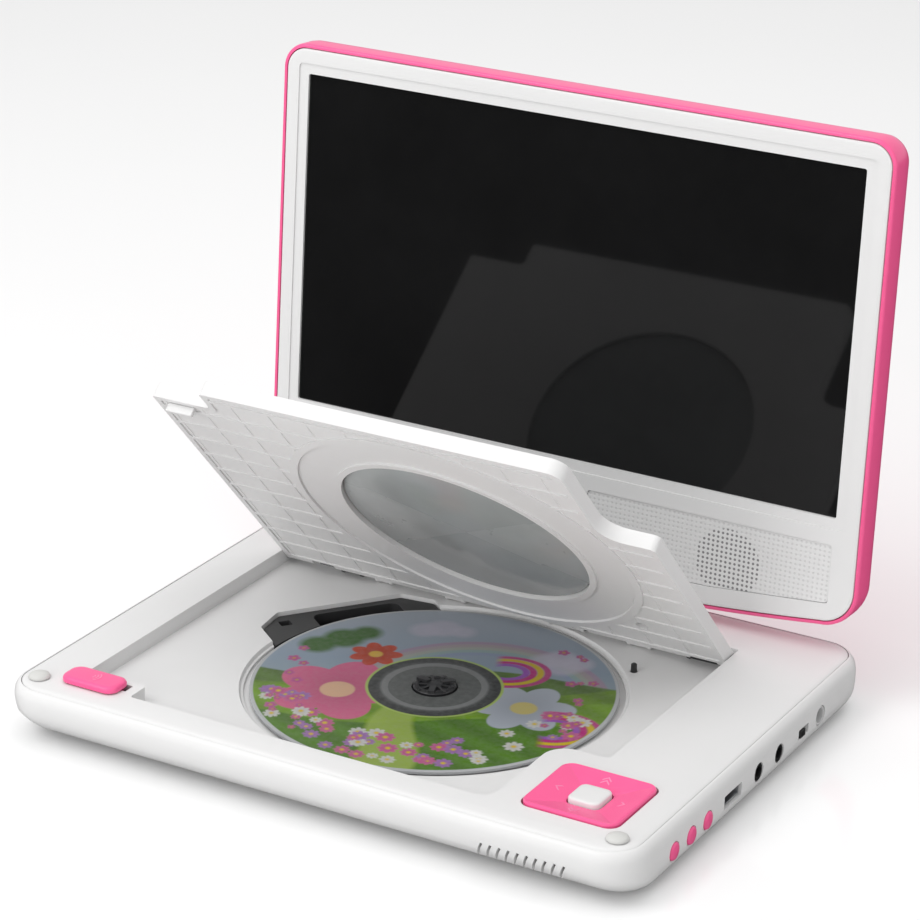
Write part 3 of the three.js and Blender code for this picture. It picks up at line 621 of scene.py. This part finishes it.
def meadow(x, y):
    """The disc's printed picture, darkened overall by painted shade from the lid: sky, rainbow, hills, a
    path, and flowers. x runs right and y up, in mm.
    """
    sky = np.stack([0.20 + 0.003 * (y + 10), 0.27 + 0.0025 * (y + 10), 0.33 + 0.002 * (y + 20)], 1)
    haze = np.clip((18 - y) / 40, 0, 1)
    picture = over(sky, (0.42, 0.46, 0.42), haze * 0.8)
    bow = np.hypot(x - 14, y + 8)
    stripes = [(0.42, 0.2, 0.3), (0.45, 0.3, 0.26), (0.44, 0.42, 0.28), (0.3, 0.42, 0.34), (0.27, 0.3, 0.46)]
    for k, color in enumerate(stripes):
        picture = over(picture, color, 0.45 * soft(1.1 - np.abs(bow - 43 + k * 2.1), 0.8))
    clouds = [(34, 24, 5), (39, 26, 6), (45, 23, 5), (40, 20, 6), (-8, 43, 5), (-2, 45, 6), (5, 43, 4)]
    for cx, cy, r in clouds:
        picture = over(picture, (0.52, 0.5, 0.58), 0.75 * blob(x, y, cx, cy, r, 3))
    hills = [
        (9 + 5 * np.sin(x / 17 + 0.6), (0.10, 0.17, 0.045)),
        (2 + 5 * np.sin(x / 13 + 2.4), (0.14, 0.24, 0.035)),
        (-9 + 5 * np.sin(x / 21 + 4.4), (0.17, 0.3, 0.03)),
        (-25 + 4 * np.sin(x / 15), (0.09, 0.19, 0.02)),
    ]
    for crest, color in hills:
        band = 0.88 + 0.12 * np.sin(x / 3.1 + y / 2.3)
        mask = soft(crest - y, 0.8)
        picture = picture * (1 - mask[:, None]) + np.array(color)[None, :] * (band * mask)[:, None]
    path = np.abs(x + 4 - 0.35 * (y + 20) - 6 * np.sin(y / 12))
    picture = over(picture, (0.33, 0.42, 0.13), soft(5 - 0.12 * (y + 10) - path, 2) * soft(-4 - y, 2) * 0.8)
    for cx, cy, r in ((-34, 33, 7), (-42, 27, 6), (-27, 38, 5)):
        picture = over(picture, (0.05, 0.12, 0.03), blob(x, y, cx, cy, r, 3))
    picture = blossom(picture, x, y, -31, -6, 22, (0.56, 0.17, 0.27), (0.62, 0.42, 0.3), 5)
    picture = blossom(picture, x, y, -22, 22, 9, (0.46, 0.09, 0.06), (0.6, 0.4, 0.12), 7)
    picture = blossom(picture, x, y, 30, -12, 17, (0.42, 0.45, 0.5), (0.48, 0.42, 0.2), 6)
    for k, color in enumerate([(0.42, 0.09, 0.22), (0.55, 0.42, 0.08), (0.42, 0.06, 0.2), (0.3, 0.12, 0.4)]):
        for cx, cy, r in ((22, 14, 11), (40, -26, 12)):
            curl = np.hypot((x - cx) * 0.8, y - cy)
            side = soft(x - cx + 3, 3)
            picture = over(picture, color, side * soft(0.9 - np.abs(curl - r + k * 1.9), 0.5))
    rng = np.random.default_rng(7)
    for k in range(62):
        angle = rng.uniform(math.pi * 1.05, math.pi * 1.95)
        reach = rng.uniform(40, 57)
        cx, cy = reach * math.cos(angle), reach * math.sin(angle) * 0.95
        petal = [(0.62, 0.62, 0.6), (0.5, 0.16, 0.3), (0.35, 0.2, 0.42)][k % 3]
        picture = blossom(picture, x, y, cx, cy, rng.uniform(1.8, 3.4), petal, (0.6, 0.45, 0.08), 8)
    for k in range(26):
        angle = rng.uniform(-0.6, 0.75) + (math.pi if k % 2 else 0)
        reach = rng.uniform(44, 56)
        cx, cy = reach * math.cos(angle), reach * math.sin(angle)
        picture = blossom(picture, x, y, cx, cy, rng.uniform(1.3, 2.4), (0.45, 0.14, 0.3), (0.5, 0.3, 0.1), 5)
    grey = picture.mean(axis=1, keepdims=True)
    # The 0.8 darkens the whole print: painted shade of the open lid over the disc. The 1.25 raises its
    # saturation.
    return np.clip(0.8 * (grey + (picture - grey) * 1.25), 0.01, 1)


def disc_mesh():
    """Disc with a moulded hub, stacking ring and printed label; the picture is a colour on its points."""
    top, under = DISC_TOP, DISC_TOP - 1.2
    radii = [7.5, 7.6, 11, 15, 15.3, 16.6, 17, 18, 19.4, 19.6, 21.4, 21.8, 22.2]
    radii += list(np.linspace(22.8, 58.6, 110)) + [59, 59.7, 60]
    lift = {7.5: -0.15, 16.6: 0.14, 17: 0.14, 60: -0.2}
    profile = [(r, top + lift.get(r, 0)) for r in radii]
    profile += [(60, under + 0.2), (59.7, under), (7.7, under), (7.5, under + 0.15)]
    mesh = turned(profile, 540, closed=True)
    count = len(mesh.vertices)
    place = np.zeros(count * 3)
    mesh.vertices.foreach_get("co", place)
    x, y, z = place.reshape(-1, 3).T
    tilt = math.radians(PICTURE_TURN)
    px, py = x * math.cos(tilt) + y * math.sin(tilt), y * math.cos(tilt) - x * math.sin(tilt)
    color = meadow(px, py)
    r = np.hypot(x, y)
    plain = np.tile(np.array([[0.055, 0.058, 0.058]]), (count, 1))
    plain[r < 15.2] = (0.085, 0.09, 0.088)
    plain[(r > 15.1) & (r < 17.3)] = (0.16, 0.165, 0.165)
    plain[(r > 19.3) & (r < 21.6)] = (0.035, 0.037, 0.037)
    plain[(r > 21.6) & (r < 22.4)] = (0.3, 0.4, 0.1)
    plain[r > 58.8] = (0.4, 0.41, 0.42)
    printed = (r > 22.5) & (r < 58.8) & (z > DISC_TOP - 0.1)
    color = np.where(printed[:, None], color, plain)
    layer = mesh.color_attributes.new("picture", "FLOAT_COLOR", "POINT")
    layer.data.foreach_set("color", np.concatenate([color, np.ones((count, 1))], 1).ravel())
    return mesh


def disc_finish():
    n = Nodes("disc_label")
    paint = n.add("ShaderNodeAttribute", attribute_name="picture")
    dust = n.mix(n.spread(n.noise(500, 4), 0, 0.12), paint.outputs["Color"], (0.3, 0.3, 0.3))
    n.put(n.surface.inputs["Base Color"], dust)
    n.put(n.surface.inputs["Roughness"], n.spread(n.noise(70, 5), 0.16, 0.26))
    n.put(n.surface.inputs["Normal"], n.bump(n.noise(40, 2), 0.06, 0.00006))
    n.surface.inputs["Specular IOR Level"].default_value = 0.18
    n.surface.inputs["Coat Weight"].default_value = 0.06
    n.surface.inputs["Coat Roughness"].default_value = 0.08
    return n


MATERIALS["disc_label"] = disc_finish()
show("disc_look", disc_mesh(), DISC, "disc", "disc_label", 0, replaces=["disc"], sharp=25)


# ---- lid, drawn shut, with its hinge axis as origin ----
WINDOW_Y = DISC_Y - LID_HINGE.y
LID_TOP, LID_UNDER = 3.0, -2.2
LID_X = (-93.3, 77.8)
# The black sleeve at the right end, 62 to 76, is painted shade: a dark part set where the hinge gap lies in
# shadow.
HINGE_SLEEVES = (
    (62, 76, 2.1, "black_plastic"), (40, 49, 2.4, "white_shell"), (10, 24, 2.2, "white_shell"),
    (-30, -22, 2.4, "white_shell"), (-58, -51, 2.4, "white_shell"), (-72, -63, 2.1, "black_plastic"),
)


def lid_relief():
    """What is cut from the lid's underside: shallow cells between ribs, and none over the disc dish."""
    y = LID_HINGE.y
    pocket = moved(prism(bay_outline(2.6, y - 4), LID_UNDER - 1, LID_UNDER + 0.5), at(0, -y, 0))
    across = together([block(-95, 80, k - 0.6, k + 0.6, LID_UNDER, 0) for k in range(-124, -4, 11)])
    along = together([block(k - 0.5, k + 0.5, -130, 0, LID_UNDER + 0.32, 0) for k in range(-90, 80, 14)])
    return carve(pocket, [across, along, moved(turned([(61.5, -9), (61.5, 9)], 96), at(DISC_X, WINDOW_Y, 0))])


def lid_mesh():
    slab = moved(prism(bay_outline(0.5, LID_HINGE.y + 1.6), LID_UNDER, LID_TOP), at(0, -LID_HINGE.y, 0))
    x0, x1 = LID_X
    hub = at(DISC_X, WINDOW_Y, 0)
    dish = [(61.2, -9), (58.4, LID_UNDER + 0.7), (45.6, LID_UNDER + 0.7), (45.2, -9)]
    tools = [
        lid_relief(),
        moved(turned([(41.6, -9), (41.6, 9)], 96), hub),
        moved(turned([(43.3, LID_UNDER - 1), (43.3, LID_TOP - 1.1)], 96), hub),
        moved(turned(dish, 96, closed=True), hub),
        block(x0 - 1, x1 + 1, -1.2, 3, LID_UNDER - 1, 0),
        block(-82.5, -73.5, -3.4, 4, LID_UNDER - 1, 1.6),
        block(64, 74, -2.4, 0.2, LID_UNDER - 1, 0.6),
        block(20, 26, -2.4, 0.2, LID_UNDER - 1, 0.6),
        moved(turned([(2.2, -9), (2.2, 1.5)], 24), at(PIN_X, PIN_Y - LID_HINGE.y, 0)),
        along_x(1.3, x0 - 1, x0 + 9, 0, 0),
        along_x(1.3, x1 - 9, x1 + 1, 0, 0),
    ]
    return carve(carve(slab, (), [along_x(1.6, x0, x1, 0, 0)]), tools)


show("lid_look", lid_mesh(), LID, "lid", "white_shell", 0.3, replaces=["lid"])
hook = block(-88, -78, -116.6, -115, LID_UNDER - 3, LID_UNDER + 0.2)
show("lid_hook", hook, LID, "lid", "white_shell", 0.4)


def sleeve_mesh(x0, x1, r):
    """A sleeve round the lid's hinge barrel, ridged at both ends."""
    profile = [(r - 0.3, x0), (r, x0 + 0.3), (r, x0 + 1.2), (r - 0.25, x0 + 1.4)]
    profile += [(r - 0.25, x1 - 1.4), (r, x1 - 1.2), (r, x1 - 0.3), (r - 0.3, x1), (1.65, x1), (1.65, x0)]
    return moved(turned(profile, 40, closed=True), turn(90, "Y"))


for number, (x0, x1, r, slot) in enumerate(HINGE_SLEEVES):
    show(f"hinge_sleeve_{number + 1}", sleeve_mesh(x0, x1, r), LID, "lid", slot, 0, sharp=50)


def window_mesh():
    pane = [(0.02, -0.8), (42.6, -0.8), (43, -0.6), (43, 1.5), (0.02, 1.6)]
    return moved(turned(pane, 96), at(DISC_X, WINDOW_Y, 0))


show("lid_window_look", window_mesh(), LID, "lid", "smoked_window", 0, replaces=["lid_window"])


# ---- screen, drawn flat: x across, y up, z towards the viewer, with the tilt axis as origin ----
FRONT, REAR = 8.3, -7.7
SCREEN_TOP, SCREEN_LOW, BOW = 162.3, -7.8, 6.3e-4
LCD = (-103.3, 103.3, 35.9, 152.1)
NOTCH = (24.5, 8.8)


def screen_ring(inset, z):
    w, top = HALF_W - 0.2 - inset, SCREEN_TOP - inset

    def low(x):
        return SCREEN_LOW + BOW * x * x + inset

    r_top, r_low = max(9 - inset, 2.5), max(13 - inset, 4)
    points = []
    high_y, low_y = top - r_top, low(w - r_low) + r_low
    corners = ((w - r_top, high_y, r_top, 0), (r_top - w, high_y, r_top, 90), (r_low - w, low_y, r_low, 180))
    for cx, cy, r, start in corners:
        for k in range(13):
            a = math.radians(start + 7.5 * k)
            points.append((cx + r * math.cos(a), cy + r * math.sin(a), z))
    for x in np.linspace(-92, 92, 31):
        points.append((x, low(x), z))
    for k in range(13):
        a = math.radians(270 + 7.5 * k)
        points.append((w - r_low + r_low * math.cos(a), low_y + r_low * math.sin(a), z))
    return points


def shell_mesh():
    skin = [(12, REAR), (6.4, REAR + 0.05), (4.4, REAR + 0.5), (2.8, REAR + 1.3), (1.6, REAR + 2.6)]
    skin += [(0.8, REAR + 4.2), (0.3, REAR + 6.2), (0.05, REAR + 8.6), (0, FRONT - 1.4), (0.12, FRONT - 0.7)]
    skin += [(0.45, FRONT - 0.3), (1.3, FRONT - 0.25), (1.35, FRONT - 3), (2.6, FRONT - 3)]
    skin += [(2.9, REAR + 4.4), (5.8, REAR + 2), (12, REAR + 1.9)]
    notch = block(-NOTCH[0], NOTCH[0], -30, NOTCH[1], -30, 30)
    return carve(loft([screen_ring(inset, z) for inset, z in skin]), [notch])


def grille_outline(side, inset):
    """A speaker opening, stepped beside the hinge notch; the grille uses it too, set in all round."""
    inner, step, outer = 13 + inset, 27 + inset, 103 - inset
    shelf, top = 11 + inset, 26.8 - inset
    corners = [
        (inner, shelf), (step, shelf), (step, 1.6 + inset), (60 + inset, 2.6 + inset),
        (outer, 6.5 + inset), (outer, top), (inner, top),
    ]
    shape = [(side * x, y, 1.2) for x, y in corners]
    return rounded(shape if side > 0 else shape[::-1], 4)


def bezel_mesh():
    skin = [(1.6, FRONT - 2.7), (1.6, FRONT - 0.6), (1.75, FRONT - 0.25), (2.1, FRONT - 0.06), (2.6, FRONT)]
    x0, x1, y0, y1 = LCD
    m = 3.6
    tools = [
        prism(box_outline(x0, x1, y0, y1, 0.8, 4), -30, 30),
        prism(box_outline(x0 - m, x1 + m, y0 - m, y1 + m, 1.6, 6), FRONT - 0.5, 30),
        block(-3.8, 3.8, 29.6, 31.4, -30, 30),
        block(-NOTCH[0], NOTCH[0], -30, NOTCH[1], -30, 30),
    ]
    tools += [prism(grille_outline(side, 0), -30, 30) for side in (-1, 1)]
    return carve(loft([screen_ring(inset, z) for inset, z in skin]), tools)


show("screen_shell", shell_mesh(), SCREEN, "screen", "pink_shell", 0, replaces=["screen_back"], sharp=55)
show("bezel", bezel_mesh(), SCREEN, "screen", "white_shell", 0.18, replaces=["screen_bezel"])


def grille_finish():
    """White plastic with a grid of small dimples, and holes in a round patch over the speaker: both bumped
    in, and darkened in the colour as painted shade.
    """
    n = finish_of("grille_white", WHITE_COLOR, 0.42, wear=0.03)
    split = n.add("ShaderNodeSeparateXYZ")
    n.put(split.inputs[0], n.coordinates.outputs["UV"])
    pitch = 1.66
    cells = []
    for axis in (0, 1):
        share = n.math("FRACT", n.math("DIVIDE", split.outputs[axis], pitch))
        cells.append(n.math("POWER", n.math("SUBTRACT", share, 0.5), 2.0))
    away = n.math("SQRT", n.math("ADD", cells[0], cells[1]))
    side = n.math("SUBTRACT", n.math("ABSOLUTE", split.outputs[0]), 66.3)
    up = n.math("SUBTRACT", split.outputs[1], 12.5)
    reach = n.math("SQRT", n.math("ADD", n.math("POWER", side, 2.0), n.math("POWER", up, 2.0)))
    inside = n.spread(reach, 1, 0, 11.6, 12)
    dimple = n.spread(away, 1, 0, 0.2, 0.3)
    hole = n.math("MULTIPLY", n.spread(away, 1, 0, 0.23, 0.31), inside)
    # Painted shade: the base colour darkens a little in the dimples and much more in the holes, where shadow
    # falls.
    dark = n.math("MAXIMUM", n.math("MULTIPLY", dimple, 0.13), n.math("MULTIPLY", hole, 0.74))
    n.put(n.surface.inputs["Base Color"], n.mix(dark, WHITE_COLOR, (0.05, 0.05, 0.055)))
    depth = n.math("MULTIPLY", n.math("MAXIMUM", dimple, hole), -1.0)
    n.put(n.surface.inputs["Normal"], n.bump(depth, 0.5, 0.0003))
    return n


GRILLE = grille_finish()
for side, label in ((-1, "left"), (1, "right")):
    mesh = prism(grille_outline(side, 0.15), FRONT - 2.2, FRONT - 0.35)
    show(f"grille_{label}", mesh, SCREEN, "screen", "white_shell", 0.1, GRILLE, [f"speaker_grille_{label}"])



def lcd_mesh():
    x0, x1, y0, y1 = LCD
    return prism(box_outline(x0 - 2, x1 + 2, y0 - 2, y1 + 2, 1), 2.9, 6.9)


show("lcd_look", lcd_mesh(), SCREEN, "screen", "lcd", 0.1, replaces=["lcd_panel"])

# ---- the other nodes keep their CAD shape, with softened edges ----
for node, obj in frame["nodes"].items():
    if not obj.hide_render:
        dress(node, 0 if node == "lid_spring" else 0.12)


# ---- stage: floor and lamps in metres and watts, the camera's place in the base's millimetres ----
FLOOR_RADIUS = 14
HORIZON = -0.06
LENS_MM = 130.77
CAMERA_PLACE = (490.39, -851.31, 486.76)
CAMERA_TURN = (68.0576, -0.7935, 29.9539)


def floor_finish():
    n = Nodes("floor")
    n.put(n.surface.inputs["Base Color"], n.mix(n.noise(3), (0.93, 0.93, 0.93), (0.9, 0.9, 0.9)))
    n.put(n.surface.inputs["Roughness"], n.spread(n.noise(8), 0.07, 0.1))
    n.surface.inputs["IOR"].default_value = 1.35
    return n


floor = bpy.data.objects.new("floor", prism(circle(FLOOR_RADIUS, 96), -0.01, -0.0002))
floor.data.materials.append(floor_finish().material)
bpy.context.scene.collection.objects.link(floor)
floor.visible_glossy = False


def panel(name, place, aim, width, height, power, seen=False):
    """A soft area lamp at place, aimed at a point; seen says whether gloss mirrors it."""
    lamp = bpy.data.lights.new(name, "AREA")
    lamp.shape = "RECTANGLE"
    lamp.size = width
    lamp.size_y = height
    lamp.energy = power
    obj = bpy.data.objects.new(name, lamp)
    obj.location = place
    obj.rotation_euler = (Vector(aim) - Vector(place)).to_track_quat("-Z", "Y").to_euler()
    obj.visible_glossy = seen
    bpy.context.scene.collection.objects.link(obj)


panel("key", (-0.7, -0.9, 1.5), (0, 0, 0.05), 0.9, 0.9, 7.6, seen=True)
panel("top", (0.1, 0, 1.7), (0, 0, 0), 1.6, 1.6, 10.5)
panel("fill", (-0.25, -1.5, 0.4), (0, 0, 0.05), 0.9, 0.7, 7)

world = bpy.data.worlds.new("studio")
world.use_nodes = True
sky = world.node_tree.nodes["Background"]
sky.inputs["Strength"].default_value = 0.7
heading = world.node_tree.nodes.new("ShaderNodeTexCoord")
height = world.node_tree.nodes.new("ShaderNodeSeparateXYZ")
above = world.node_tree.nodes.new("ShaderNodeMath")
above.operation = "GREATER_THAN"
world.node_tree.links.new(heading.outputs["Generated"], height.inputs[0])
world.node_tree.links.new(height.outputs["Z"], above.inputs[0])
above.inputs[1].default_value = HORIZON
world.node_tree.links.new(above.outputs[0], sky.inputs["Color"])
bpy.context.scene.world = world
bpy.context.scene.view_settings.view_transform = "Standard"

camera = bpy.data.cameras.new("camera")
camera.lens = LENS_MM
camera.sensor_width = 36
camera.clip_end = 20
eye = bpy.data.objects.new("camera", camera)
eye.location = BASE @ Vector(CAMERA_PLACE)
eye.rotation_euler = [math.radians(a) for a in CAMERA_TURN]
bpy.context.scene.collection.objects.link(eye)
bpy.context.scene.camera = eye
